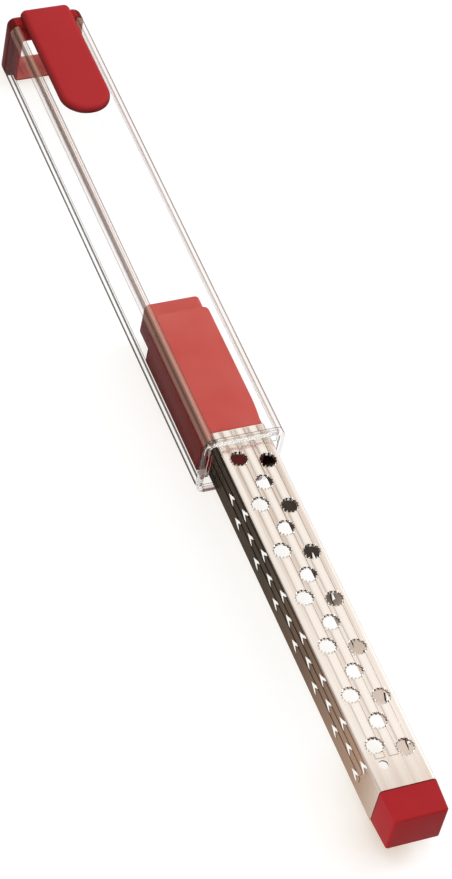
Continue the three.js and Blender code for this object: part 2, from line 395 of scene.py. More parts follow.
class Graph:
    """The node tree of a material or of the world, built from code."""

    def __init__(self, owner: bpy.types.Material | bpy.types.World) -> None:
        """Empties the node tree of its owner.

        Args:
            owner: The material or the world.
        """
        self.owner = owner
        owner.use_nodes = True
        self.tree = owner.node_tree
        self.tree.nodes.clear()

    @classmethod
    def paint(cls, name: str) -> "Graph":
        """Starts a new material."""
        return cls(bpy.data.materials.new(name))

    def node(self, kind: str, inputs: dict, output: int | str = 0, **settings: str) -> Wire:
        """Adds a node.

        Args:
            kind: Blender's type name of the node, after ShaderNode.
            inputs: Values or wires by socket name or number.
            output: Name or number of the socket that is handed back.
            settings: The node's properties.

        Returns:
            The wire from that output.
        """
        made = self.tree.nodes.new(f"ShaderNode{kind}")
        for key, value in settings.items():
            setattr(made, key, value)
        for key, value in inputs.items():
            if isinstance(value, Wire):
                self.tree.links.new(value.socket, made.inputs[key])
            else:
                made.inputs[key].default_value = value
        return Wire(self, made.outputs[output])

    def ramp(self, share: Wire, stops: Stops) -> Wire:
        """Looks a share up in a colour ramp.

        Args:
            share: Place of 0 to 1 on the ramp.
            stops: Places and colours of the ramp.

        Returns:
            The colour.
        """
        colour = self.node("ValToRGB", {"Fac": share}, "Color")
        elements = colour.socket.node.color_ramp.elements
        while len(elements) < len(stops):
            elements.new(1.0)
        for element, (place, tone) in zip(elements, stops):
            element.position = place
            element.color = tone
        return colour

    def principled(self, inputs: dict) -> Wire:
        """Adds a Principled shader."""
        return self.node("BsdfPrincipled", inputs)

    def mix(self, share: Wire, first: Wire, second: Wire) -> Wire:
        """Mixes two shaders."""
        return self.node("MixShader", {0: share, 1: first, 2: second})

    def coordinates(self, stretch: Triple = (1.0, 1.0, 1.0)) -> Wire:
        """Object coordinates, stretched on each axis."""
        place = self.node("TexCoord", {}, "Object")
        return self.node("Mapping", {"Vector": place, "Scale": stretch})

    def axes(self) -> tuple[Wire, Wire, Wire]:
        """The X, Y and Z places of a surface point in metres."""
        split = self.node("SeparateXYZ", {"Vector": self.coordinates()}, "X")
        return (split, *self.twins(split, "Y", "Z"))

    def noise(self, scale: float, detail: float = 3.0, stretch: Triple = (1.0, 1.0, 1.0)) -> Wire:
        """A noise value of 0 to 1 on Object coordinates."""
        inputs = {"Vector": self.coordinates(stretch), "Scale": scale, "Detail": detail}
        return self.node("TexNoise", inputs, "Fac")

    def blend(self, share: Wire | float, first: Wire | Colour, second: Wire | Colour) -> Wire:
        """Mixes two colours."""
        inputs = {"Factor": share, 6: first, 7: second}
        return self.node("Mix", inputs, 2, data_type="RGBA")

    def bump(self, height: Wire, depth: float) -> Wire:
        """A bump of the given depth in metres."""
        inputs = {"Height": height, "Distance": depth, "Strength": 1.0}
        return self.node("Bump", inputs, "Normal")

    def twins(self, first: Wire, *names: str) -> tuple[Wire, ...]:
        """More outputs of the node that a wire comes from."""
        return tuple(Wire(self, first.socket.node.outputs[name]) for name in names)

    def finish(self, shader: Wire) -> bpy.types.Material | bpy.types.World:
        """Links a shader to the output.

        Args:
            shader: The finished shader.

        Returns:
            The material or world.
        """
        kind = "World" if isinstance(self.owner, bpy.types.World) else "Material"
        made = self.tree.nodes.new(f"ShaderNodeOutput{kind}")
        self.tree.links.new(shader.socket, made.inputs["Surface"])
        return self.owner


@dataclass(frozen=True)
class MouldedPlastic:
    """Opaque moulded plastic with a fine grain; painted shade darkens the flanks and low edges,
    and painted light makes a bore paler.
    """

    name: str
    colour: Colour
    shade: Colour
    painted_shade: Colour = BLACK
    shade_beyond: float = 1.0
    shade_below: float = -1.0
    full_above: float = -0.9
    pale: Colour = srgb(204, 100, 90)
    lit_within: float = 0.0
    lit_low: float = 0.0
    lit_high: float = 0.0
    roughness: float = 0.4
    specular: float = 0.2
    ior: float = 1.2
    drift_scale: float = 60.0
    drift_gain: float = 1.6
    drift_shine: float = 0.12
    grain_scale: float = 2600.0
    grain_depth: float = 0.02 * MM
    grain_shine: float = 0.1

    def material(self) -> bpy.types.Material:
        """Builds the node material.

        Returns:
            The material.
        """
        graph = Graph.paint(self.name)
        drift = graph.noise(self.drift_scale) - 0.5
        grain = graph.noise(self.grain_scale)
        tone = graph.blend((drift * self.drift_gain + 0.5).clamped(), self.shade, self.colour)
        across, _, up = graph.axes()
        # Painted shade: the flanks beyond a side width blend towards the shade colour.
        flank = abs(across).above(self.shade_beyond)
        # Painted shade: low edges blend towards the same colour, fully below one level.
        low = ((self.full_above - up) / (self.full_above - self.shade_below)).clamped()
        tone = graph.blend((flank + low).clamped(), tone, self.painted_shade)
        # Painted light: the bore region, within a side width and between two levels, turns paler
        # as if lit.
        bore = abs(across).below(self.lit_within)
        bore = bore * up.above(self.lit_low) * up.below(self.lit_high)
        shine = drift * self.drift_shine + (grain - 0.5) * self.grain_shine
        shader = graph.principled(
            {
                "Base Color": graph.blend(bore, tone, self.pale),
                "Roughness": self.roughness + shine,
                "IOR": self.ior,
                "Specular IOR Level": self.specular,
                "Normal": graph.bump(grain, self.grain_depth),
            },
        )
        return graph.finish(shader)


@dataclass(frozen=True)
class ClearPlastic:
    """Clear moulded plastic: open walls, painted shade lines and a painted pale reflection along
    the round corners, and a glassy rim with a painted shade ring.
    """

    name: str
    half_width: float
    height: float
    corner: float
    mouth: float
    rim: float = 1.7 * MM
    rim_share: float = 0.8
    rim_shade_width: float = 0.25 * MM
    rim_shade_share: float = 0.6
    tint: Colour = (0.96, 0.945, 0.93, 1.0)
    corner_reflection: Colour = srgb(244, 200, 182)
    corner_reflection_share: float = 0.25
    line_shade: Colour = srgb(74, 56, 40)
    line_shade_share: float = 0.72
    line_waves: int = 2
    far_share: float = 0.05
    back_gain: float = 1.3
    fade_low: float = 0.6
    fade_gain: float = 0.9
    fade_scale: float = 30.0
    fade_stretch: Triple = (1.0, 0.4, 1.0)
    matt: float = 0.3
    matt_specular: float = 0.05
    ior: float = 1.46
    film_ior: float = 1.28
    gloss: float = 0.1
    polish: float = 0.02
    scuff: float = 0.05
    scuff_scale: float = 140.0
    scuff_stretch: Triple = (1.0, 0.25, 1.0)
    deep: float = 3.0

    def corners(self, graph: Graph, across: Wire, up: Wire) -> tuple[Wire, Wire]:
        """Marks the round corners and three thin painted shade lines along each of them.

        Args:
            graph: The material's graph.
            across: Place along X in metres.
            up: Place along Z in metres.

        Returns:
            One on the two front corners, and the strength of the painted shade lines.
        """
        side = abs(across) - (self.half_width - self.corner)
        rise = abs(up - self.height / 2) - (self.height / 2 - self.corner)
        wave = (side / (side + rise) * self.line_waves).wave()
        front = up.above(self.height / 2)
        near = across.below(0.0)
        weight = self.far_share + (1 - self.far_share) * (near + front).clamped()
        weight = weight + self.back_gain * near * (1 - front)
        fade = graph.noise(self.fade_scale, detail=2.0, stretch=self.fade_stretch)
        fade = self.fade_low + self.fade_gain * fade
        arc = side.above(0.0) * rise.above(0.0)
        return arc * front, arc * wave * wave * weight * fade

    def material(self) -> bpy.types.Material:
        """Builds the node material; lamps and deep light paths pass straight through.

        Returns:
            The material.
        """
        graph = Graph.paint(self.name)
        across, along, up = graph.axes()
        marks = graph.noise(self.scuff_scale, detail=4.0, stretch=self.scuff_stretch)
        sheen = self.polish + (marks - 0.5).clamped() * self.scuff
        open_air = graph.node("BsdfTransparent", {})
        mirror = graph.node("BsdfGlossy", {"Color": self.tint, "Roughness": sheen})
        leaving = graph.node("NewGeometry", {}, "Backfacing")
        film = graph.node("Fresnel", {"IOR": self.film_ior})
        wall = graph.mix(film * self.gloss * (1 - leaving), open_air, mirror)
        front_arc, lines = self.corners(graph, across, up)
        matt = {"Roughness": sheen + self.matt, "Specular IOR Level": self.matt_specular}
        # Painted reflection: a pale band over the two front corners.
        pale = graph.principled({"Base Color": self.corner_reflection, **matt})
        wall = graph.mix(front_arc * self.corner_reflection_share, wall, pale)
        # Painted shade: a matt shader in the shade colour for the corner lines and the rim ring.
        painted_shade = graph.principled({"Base Color": self.line_shade, **matt})
        # Painted shade: a thin ring just past the rim, in the same shade colour.
        rim_shade = abs(along - (self.mouth + self.rim)).below(self.rim_shade_width)
        lines = lines * self.line_shade_share + rim_shade * self.rim_shade_share
        wall = graph.mix(lines.clamped(), wall, painted_shade)
        clear = {"Roughness": sheen, "IOR": self.ior, "Transmission Weight": 1.0}
        glass = graph.principled({"Base Color": self.tint, **clear})
        wall = graph.mix(along.below(self.mouth + self.rim) * self.rim_share, wall, glass)
        shadow = graph.node("LightPath", {}, "Is Shadow Ray")
        diffuse, depth = graph.twins(shadow, "Is Diffuse Ray", "Ray Depth")
        passing = (shadow + diffuse + depth.above(self.deep)).clamped()
        return graph.finish(graph.mix(passing, wall, open_air))


@dataclass(frozen=True)
class StampedSteel:
    """Stainless sheet, brushed along Y, with painted shade on the left wall and the inner right
    wall that deepens towards the case, painted tan shade between the star columns and a painted
    glow inside the right wall.
    """

    name: str
    half_width: float
    front: float
    y_low: float
    y_high: float
    column: float
    colour: Colour = srgb(249, 240, 232)
    stripe: Colour = srgb(192, 170, 152)
    grazing: Colour = (0.6, 0.57, 0.54, 1.0)
    plain: Colour = srgb(206, 198, 191)
    gleam: Colour = srgb(190, 172, 158)
    gleam_gain: float = 1.4
    gleam_cut: float = 0.5
    gleam_share: float = 0.2
    roughness: float = 0.26
    brush: Triple = (5200.0, 90.0, 5200.0)
    brush_shine: float = 0.16
    brush_depth: float = 0.008 * MM
    streak: Triple = (900.0, 14.0, 900.0)
    streak_gain: float = 3.0
    streak_cut: float = 0.8
    streak_low: float = 0.2
    streak_rise: float = 0.6
    end_part: float = 8.0
    end_share: float = 0.4
    side_inset: float = 0.55 * MM
    fold_drop: float = 0.45 * MM
    outer_skin: float = 0.3 * MM
    left_painted_shade: Stops = (
        (0.0, srgb(220, 202, 188)),
        (0.1, srgb(184, 154, 134)),
        (0.4, srgb(112, 91, 77)),
        (0.64, srgb(58, 50, 43)),
        (1.0, srgb(38, 34, 29)),
    )
    inner_painted_shade: Stops = (
        (0.0, srgb(228, 214, 203)),
        (0.45, srgb(196, 178, 164)),
        (0.55, srgb(104, 92, 83)),
        (0.62, srgb(40, 35, 32)),
        (1.0, srgb(22, 19, 17)),
    )
    inner_painted_glow: Stops = (
        (0.0, srgb(116, 111, 108)),
        (0.4, srgb(104, 99, 96)),
        (0.55, srgb(30, 28, 26)),
        (0.62, BLACK),
    )

    def material(self) -> bpy.types.Material:
        """Builds the node material; a painted glow on the inner right wall stands in for light
        bouncing inside the channel.

        Returns:
            The material.
        """
        graph = Graph.paint(self.name)
        brush = graph.noise(1.0, stretch=self.brush)
        broad = graph.noise(1.0, detail=2.0, stretch=self.streak)
        across, along, up = graph.axes()
        on_side = abs(across).above(self.half_width - self.side_inset)
        on_side = on_side * up.below(self.front - self.fold_drop)
        share = ((along - self.y_low) / (self.y_high - self.y_low)).clamped()
        # Painted shade: tan stripes between the star columns, stronger towards the case; the tip
        # end is tinted tan as well.
        streaks = (broad * self.streak_gain - self.streak_cut).clamped()
        wave = (across / self.column + 0.5).wave()
        tan = wave * (self.streak_low + self.streak_rise * share) * streaks
        tan = tan + (1 - share * self.end_part).clamped() * self.end_share
        face = graph.blend(tan.clamped(), self.colour, self.stripe)
        outside = abs(across).above(self.half_width - self.outer_skin)
        on_right = across.above(0.0)
        # Painted shade: the inner right wall darkens towards the case; its outside keeps a plain
        # tone.
        right = graph.blend(outside, graph.ramp(share, self.inner_painted_shade), self.plain)
        # Painted shade: the left wall darkens towards the case.
        tone = graph.blend(on_right, graph.ramp(share, self.left_painted_shade), right)
        glint = (brush * self.gleam_gain - self.gleam_cut).clamped() * self.gleam_share
        wall = graph.blend(glint, tone, self.gleam)
        # Painted glow: the inner right wall glows near the tip, fading out towards the case.
        inside = on_side * on_right * (1 - outside)
        shader = graph.principled(
            {
                "Base Color": graph.blend(on_side, face, wall),
                "Metallic": 1.0,
                "Specular Tint": self.grazing,
                "Roughness": self.roughness + (brush - 0.5) * self.brush_shine,
                "Normal": graph.bump(brush, self.brush_depth),
                "Emission Color": graph.blend(inside, BLACK, graph.ramp(share, self.inner_painted_glow)),
                "Emission Strength": 1.0,
            },
        )
        return graph.finish(shader)


@dataclass(frozen=True)
class BareSteel:
    """Steel of one tone: bright for raised teeth, and a painted shade brown for cut edges."""

    name: str
    colour: Colour
    shade: Colour
    metal: float
    roughness: float
    mottle_scale: float = 1500.0
    mottle_shine: float = 0.2
    mottle_depth: float = 0.01 * MM

    def material(self) -> bpy.types.Material:
        """Builds the node material.

        Returns:
            The material.
        """
        graph = Graph.paint(self.name)
        mottle = graph.noise(self.mottle_scale)
        shader = graph.principled(
            {
                "Base Color": graph.blend(mottle, self.shade, self.colour),
                "Metallic": self.metal,
                "Roughness": self.roughness + (mottle - 0.5) * self.mottle_shine,
                "Normal": graph.bump(mottle, self.mottle_depth),
            },
        )
        return graph.finish(shader)


@dataclass(frozen=True)
class StudioFloor:
    """Pale floor that reads white and keeps the lamps' soft shadow, tinted warm; a painted shadow
    pool near the tip makes it deeper there.
    """

    shadow_pool_x: float
    shadow_pool_y: float
    shadow_pool_reach: float = 40.0 * MM
    name: str = "pale_floor"
    glow: Colour = (0.8, 0.745, 0.68, 1.0)
    lit: Colour = (0.26, 0.325, 0.4, 1.0)
    pool_glow: Colour = (0.42, 0.27, 0.12, 1.0)
    pool_lit: Colour = (0.65, 0.81, 0.97, 1.0)
    bounce: Colour = (0.3, 0.295, 0.29, 1.0)

    def material(self) -> bpy.types.Material:
        """Builds the node material.

        Returns:
            The material.
        """
        graph = Graph.paint(self.name)
        camera = graph.node("LightPath", {}, "Is Camera Ray")
        glossy, through = graph.twins(camera, "Is Glossy Ray", "Is Transmission Ray")
        plain = graph.node("BsdfDiffuse", {"Color": self.bounce})
        tones = []
        for lit, glow in ((self.lit, self.glow), (self.pool_lit, self.pool_glow)):
            soft = graph.node("BsdfDiffuse", {"Color": lit})
            light = graph.node("Emission", {"Color": glow, "Strength": 1.0})
            tones.append(graph.node("AddShader", {0: soft, 1: light}))
        # Painted shadow: near the tip the floor's own glow drops and its lit share rises, so the
        # shadow there shows deeper and warmer.
        across, along, _ = graph.axes()
        off_x, off_y = across - self.shadow_pool_x, along - self.shadow_pool_y
        pool = (1 - (off_x * off_x + off_y * off_y) / self.shadow_pool_reach**2).clamped()
        seen = (camera + glossy + through).clamped()
        return graph.finish(graph.mix(seen, plain, graph.mix(pool, *tones)))


RED_SATIN = MouldedPlastic("red_satin", srgb(168, 41, 45), srgb(157, 34, 39))
# Painted shade on the collar's flanks; painted light in its bore.
RED_COLLAR = MouldedPlastic(
    "red_collar",
    srgb(168, 40, 42),
    srgb(158, 33, 36),
    srgb(104, 27, 28),
    shade_beyond=10.5 * MM,
    lit_within=9.9 * MM,
    lit_low=2.6 * MM,
    lit_high=19.7 * MM,
    specular=0.15,
)
# Painted shade on the block's flanks.
RED_BLOCK = MouldedPlastic(
    "red_block",
    srgb(199, 98, 91),
    srgb(188, 76, 70),
    srgb(104, 34, 31),
    shade_beyond=8.72 * MM,
    roughness=0.32,
    specular=0.12,
    ior=1.18,
)
# Painted shade on the clip's low edges.
RED_SOFT = MouldedPlastic(
    "red_soft",
    srgb(176, 46, 49),
    srgb(168, 40, 43),
    srgb(92, 24, 24),
    shade_below=22.9 * MM,
    full_above=25.05 * MM,
    roughness=0.6,
    specular=0.3,
    ior=1.22,
    grain_scale=3400.0,
    grain_depth=0.03 * MM,
)
BRIGHT_TEETH = BareSteel("bright_teeth", srgb(255, 254, 252), srgb(250, 247, 243), 1.0, 0.3)
# Painted shade: the cut faces of the holes and side cuts are a deep brown.
SHADED_CUT_EDGE = BareSteel("shaded_cut_edge", srgb(74, 62, 55), srgb(48, 40, 36), 0.8, 0.4)


class Assembly:
    """Shared steps of the sub-assemblies."""

    body: Body

    def dress(self, bench: Bench, material: bpy.types.Material, slot: str, *nodes: str) -> None:
        """Gives a finished piece its material and its body.

        Args:
            bench: The piece.
            material: Its finish.
            slot: The record's material slot; not used.
            nodes: CAD nodes that it stands for.
        """
        obj = bench.obj
        if None in list(obj.data.materials) or not obj.data.materials:
            obj.data.materials.clear()
            obj.data.materials.append(material)
        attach(obj, self.body.value)
        if nodes:
            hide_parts(*nodes)
        LOG.info("%s: %d faces", obj.name, len(obj.data.polygons))


@dataclass
class ClearCase(Assembly):
    """The clear tube with its stop ribs."""

    wall: float = 1.7 * MM
    corner: float = 2.8 * MM
    rim: float = 0.45 * MM
    rib_setback: float = 0.8 * MM
    rib_length: float = 5.5 * MM
    rib_height: float = 10.0 * MM
    rib_inner: float = 9.3 * MM
    rib_round: float = 0.3 * MM
    body: Body = Body.CASE

    def build(self) -> Bench:
        """Models the tube.

        Returns:
            The tube.
        """
        low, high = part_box("clear_case")
        tube = Bench.box("case_tube", low, high)
        tube.round_along_y(self.corner, Steps.CORNER)
        hollow = partial(bpy.ops.mesh.inset, thickness=self.wall), bpy.ops.mesh.bridge_edge_loops
        tube.edit(Part.FACE, lambda centre, normal: abs(normal.y) > FACING, *hollow)
        tube.round_rim(low.y, self.rim, Steps.EDGE)
        tube.round_rim(high.y, self.rim / 2, Steps.TRIM)
        middle = (low.z + high.z) / 2
        start = low.y + self.rib_setback
        end = start + self.rib_length
        half = self.rib_height / 2
        rib = Bench.box(
            "stop_rib",
            (self.rib_inner, start, middle - half),
            (high.x - self.wall / 2, end, middle + half),
        )
        rib.soften(self.rib_round, Steps.TRIM)
        sides = [Matrix.Diagonal((side, 1, 1, 1)) for side in (-1, 1)]
        tube.combine(rib.spread("stop_rib", sides), "UNION")
        return tube.smooth()

    def make(self) -> None:
        """Builds and dresses the case."""
        low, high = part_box("clear_case")
        finish = ClearPlastic("clear_moulding", high.x, high.z, self.corner, low.y)
        self.dress(self.build(), finish.material(), "clear_plastic", "clear_case")


@dataclass
class EndCollar(Assembly):
    """The red collar that plugs the clip end of the case and leaves it open."""

    corner: float = 2.8 * MM
    end_round: float = 2.3 * MM
    seat_gap: float = 0.3 * MM
    case_wall: float = 1.7 * MM
    sleeve_wall: float = 1.0 * MM
    sleeve_corner: float = 1.1 * MM
    lip_round: float = 0.5 * MM
    sharp: float = 55.0
    rib_width: float = 0.9 * MM
    rib_rise: float = 0.28 * MM
    rib_round: float = 0.196 * MM
    rib_count: int = 6
    body: Body = Body.CASE

    def build(self) -> Bench:
        """Models flange and sleeve as one piece.

        Returns:
            The collar.
        """
        low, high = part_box("end_cap")
        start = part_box("clear_case")[1].y + self.seat_gap
        collar = Bench.box("end_collar", (low.x, start, low.z), high)
        collar.round_along_y(self.corner, Steps.CORNER)
        collar.round_edges(lambda a, b: min(a.y, b.y) > high.y - NEAR, self.end_round, Steps.ROUND)
        inset = self.case_wall + self.seat_gap
        sleeve_low = Vector((low.x + inset, low.y, low.z + inset))
        sleeve_high = Vector((high.x - inset, start + self.seat_gap, high.z - inset))
        sleeve = Bench.box("sleeve", sleeve_low, sleeve_high)
        sleeve.round_along_y(self.sleeve_corner, Steps.FOLD)
        collar.combine(sleeve, "UNION")
        reach = Vector((0, self.corner, 0))
        wall = Vector((self.sleeve_wall, 0, self.sleeve_wall))
        bore_high = Vector((sleeve_high.x, high.y, sleeve_high.z)) - wall + reach
        bore = Bench.box("bore", sleeve_low + wall - reach, bore_high)
        bore.round_along_y(self.sleeve_corner / 2, Steps.BORE)
        collar.combine(bore, "DIFFERENCE")
        collar.soften(self.lip_round / 2, Steps.TRIM, self.sharp)
        ribs = self.ribs(sleeve_low + wall, low.y, high.y)
        return Bench.merged([collar, ribs]).smooth()

    def ribs(self, floor: Vector, y_low: float, y_high: float) -> Bench:
        """Models the shallow guide ribs along the inside of the back wall.

        Args:
            floor: Lowest corner of the bore.
            y_low: Start of the collar along Y.
            y_high: End of the collar along Y.

        Returns:
            The ribs.
        """
        half = self.rib_width / 2
        rib = Bench.box(
            "guide_rib",
            (-half, y_low + self.lip_round, floor.z - self.rib_rise),
            (half, y_high - self.end_round, floor.z + self.rib_rise),
        ).soften(self.rib_round, Steps.TRIM)
        pitch = -2 * floor.x / (self.rib_count + 1)
        columns = [floor.x + pitch * (index + 1) for index in range(self.rib_count)]
        return rib.spread("guide_rib", [Matrix.Translation((x, 0, 0)) for x in columns])

    def make(self) -> None:
        """Builds and dresses the collar."""
        self.dress(self.build(), RED_COLLAR.material(), "red_plastic", "end_cap")


@dataclass
class PocketClip(Assembly):
    """The springy red strap on the front of the case."""

    thickness: float = 2.35 * MM
    nose: float = 7.9 * MM
    root: float = 4.9 * MM
    seat_gap: float = 0.3 * MM
    bend: float = 2.4 * MM
    crest: float = 1.9 * MM
    edge: float = 0.35 * MM
    plan_slack: float = 0.035 * MM
    peg_width: float = 10.0 * MM
    peg_length: float = 2.8 * MM
    body: Body = Body.CLIP

    def build(self) -> Bench:
        """Models the strap with its root and peg.

        Returns:
            The clip.
        """
        low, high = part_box("pocket_clip")
        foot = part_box("clear_case")[1].z + self.seat_gap
        under = high.z - self.thickness
        strap = Bench.box("clip_strap", (low.x, low.y, under), high)
        root_start = high.y - self.root
        strap.split((0, root_start, 0), (0, 1, 0))
        strap.edit(
            Part.FACE,
            lambda centre, normal: normal.z < -FACING and centre.y > root_start,
            partial(
                bpy.ops.mesh.extrude_region_move,
                TRANSFORM_OT_translate={"value": (0, 0, foot - under)},
            ),
        )
        strap.round_edges(
            lambda a, b: min(a.y, b.y) > high.y - NEAR and min(a.z, b.z) > high.z - NEAR,
            self.bend,
            Steps.BEND,
        )
        strap.round_edges(
            lambda a, b: max(a.y, b.y) < low.y + NEAR and abs(a.z - b.z) > NEAR,
            self.nose,
            Steps.NOSE,
        )
        bend_start = high.y - self.bend - NEAR

        def on_crest(a: Vector, b: Vector) -> bool:
            """Picks the outline of the front, over the bend as well.

            Args:
                a: One end of an edge.
                b: Its other end.

            Returns:
                Whether the edge lies on that outline.
            """
            level = min(a.z, b.z) > high.z - NEAR
            cross = abs(a.y - b.y) < NEAR and a.y > low.y + self.nose + NEAR
            flank = abs(a.x - b.x) < NEAR and min(a.y, b.y) > bend_start
            return (level and not cross) or (flank and abs(a.z - b.z) > NEAR)

        strap.round_edges(on_crest, self.crest, Steps.ROUND)
        reach = Vector((self.plan_slack, self.plan_slack, self.edge))
        plan_low = Vector((low.x, low.y - self.root, low.z)) - reach
        plan = Bench.box("clip_plan", plan_low, high + reach)
        plan.round_edges(
            lambda a, b: min(a.y, b.y) > high.y and abs(a.z - b.z) > NEAR, self.crest, Steps.ROUND
        )
        strap.combine(plan, "INTERSECT")
        merge = partial(bpy.ops.mesh.remove_doubles, threshold=NEAR)
        strap.edit(Part.FACE, everywhere, merge)
        middle = high.y - self.root / 2
        half = self.peg_width / 2
        peg = Bench.box(
            "peg",
            (-half, middle - self.peg_length / 2, low.z),
            (half, middle + self.peg_length / 2, under),
        )
        return Bench.merged([strap, peg]).smooth()

    def make(self) -> None:
        """Builds and dresses the clip."""
        self.dress(self.build(), RED_SOFT.material(), "soft_red_plastic", "pocket_clip")


@dataclass
class Carriage(Assembly):
    """The red slider block that carries the blade."""

    pad_width: float = 17.4 * MM
    pad_length: float = 47.6 * MM
    pad_rise: float = 2.7 * MM
    neck_width: float = 15.6 * MM
    neck_length: float = 10.5 * MM
    neck_curve: float = 1.7
    neck_steps: int = 9
    body_width: float = 17.8 * MM
    body_back: float = 3.4 * MM
    corner: float = 1.6 * MM
    edge: float = 0.6 * MM
    pad_sharp: float = 35.0
    trunk_sharp: float = 50.0
    tongue: float = 7.6 * MM
    tongue_setback: float = 2.0 * MM
    tongue_width: float = 15.4 * MM
    rail_height: float = 11.9 * MM
    rail_length: float = 44.4 * MM
    body: Body = Body.GRATER

    def pad(self, start: float, top: float) -> Bench:
        """Models the raised front pad with its narrowing neck.

        Args:
            start: Where the block begins along Y.
            top: Level of the pad's front.

        Returns:
            The pad.
        """
        half = self.pad_width / 2
        pad = Bench.box(
            "pad", (-half, start, top - 2 * self.pad_rise), (half, start + self.pad_length, top)
        )
        pad.round_edges(
            lambda a, b: abs(a.z - b.z) > NEAR and min(a.y, b.y) > start + self.neck_length,
            self.corner,
            Steps.ROUND,
        )
        step = self.neck_length / self.neck_steps
        levels = [start + step * index for index in range(self.neck_steps + 1)]
        for level in levels[1:]:
            pad.split((0, level, 0), (0, 1, 0))
        for level in levels[:-1]:
            share = 1 - (level - start) / self.neck_length
            scale = 1 - (1 - self.neck_width / self.pad_width) * share**self.neck_curve
            pad.stretch(
                Part.VERT,
                lambda place, at=level: abs(place.y - at) < NEAR,
                (scale, 1, 1),
                (0, level, top),
            )
        return pad.soften(self.edge, Steps.BORE, self.pad_sharp)

    def build(self) -> Bench:
        """Models the block.

        Returns:
            The block.
        """
        low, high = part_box("slider_block")
        start = low.y + self.tongue
        half = self.body_width / 2
        trunk = Bench.box(
            "slider_trunk", (-half, start, self.body_back), (half, high.y, high.z - self.pad_rise)
        )
        trunk.round_along_y(self.corner, Steps.ROUND)
        trunk.soften(self.edge, Steps.EDGE, self.trunk_sharp)
        rails = Bench.box(
            "rails",
            (low.x, start, low.z),
            (high.x, start + self.rail_length, low.z + self.rail_height),
        ).soften(self.edge, Steps.EDGE)
        half = self.tongue_width / 2
        tongue = Bench.box(
            "tongue",
            (-half, low.y + self.tongue_setback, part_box("grater_blade")[0].z + self.edge),
            (half, start + self.corner, high.z - 2 * self.edge),
        )
        return Bench.merged([trunk, self.pad(start, high.z), rails, tongue]).smooth()

    def make(self) -> None:
        """Builds and dresses the block."""
        self.dress(self.build(), RED_BLOCK.material(), "red_plastic", "slider_block")


@dataclass(frozen=True)
class Slit:
    """One kind of arrow-shaped side cut; side is minus one on the left wall, else one."""

    side: int
    lag: float
    band: float
    span: float
    rise: float


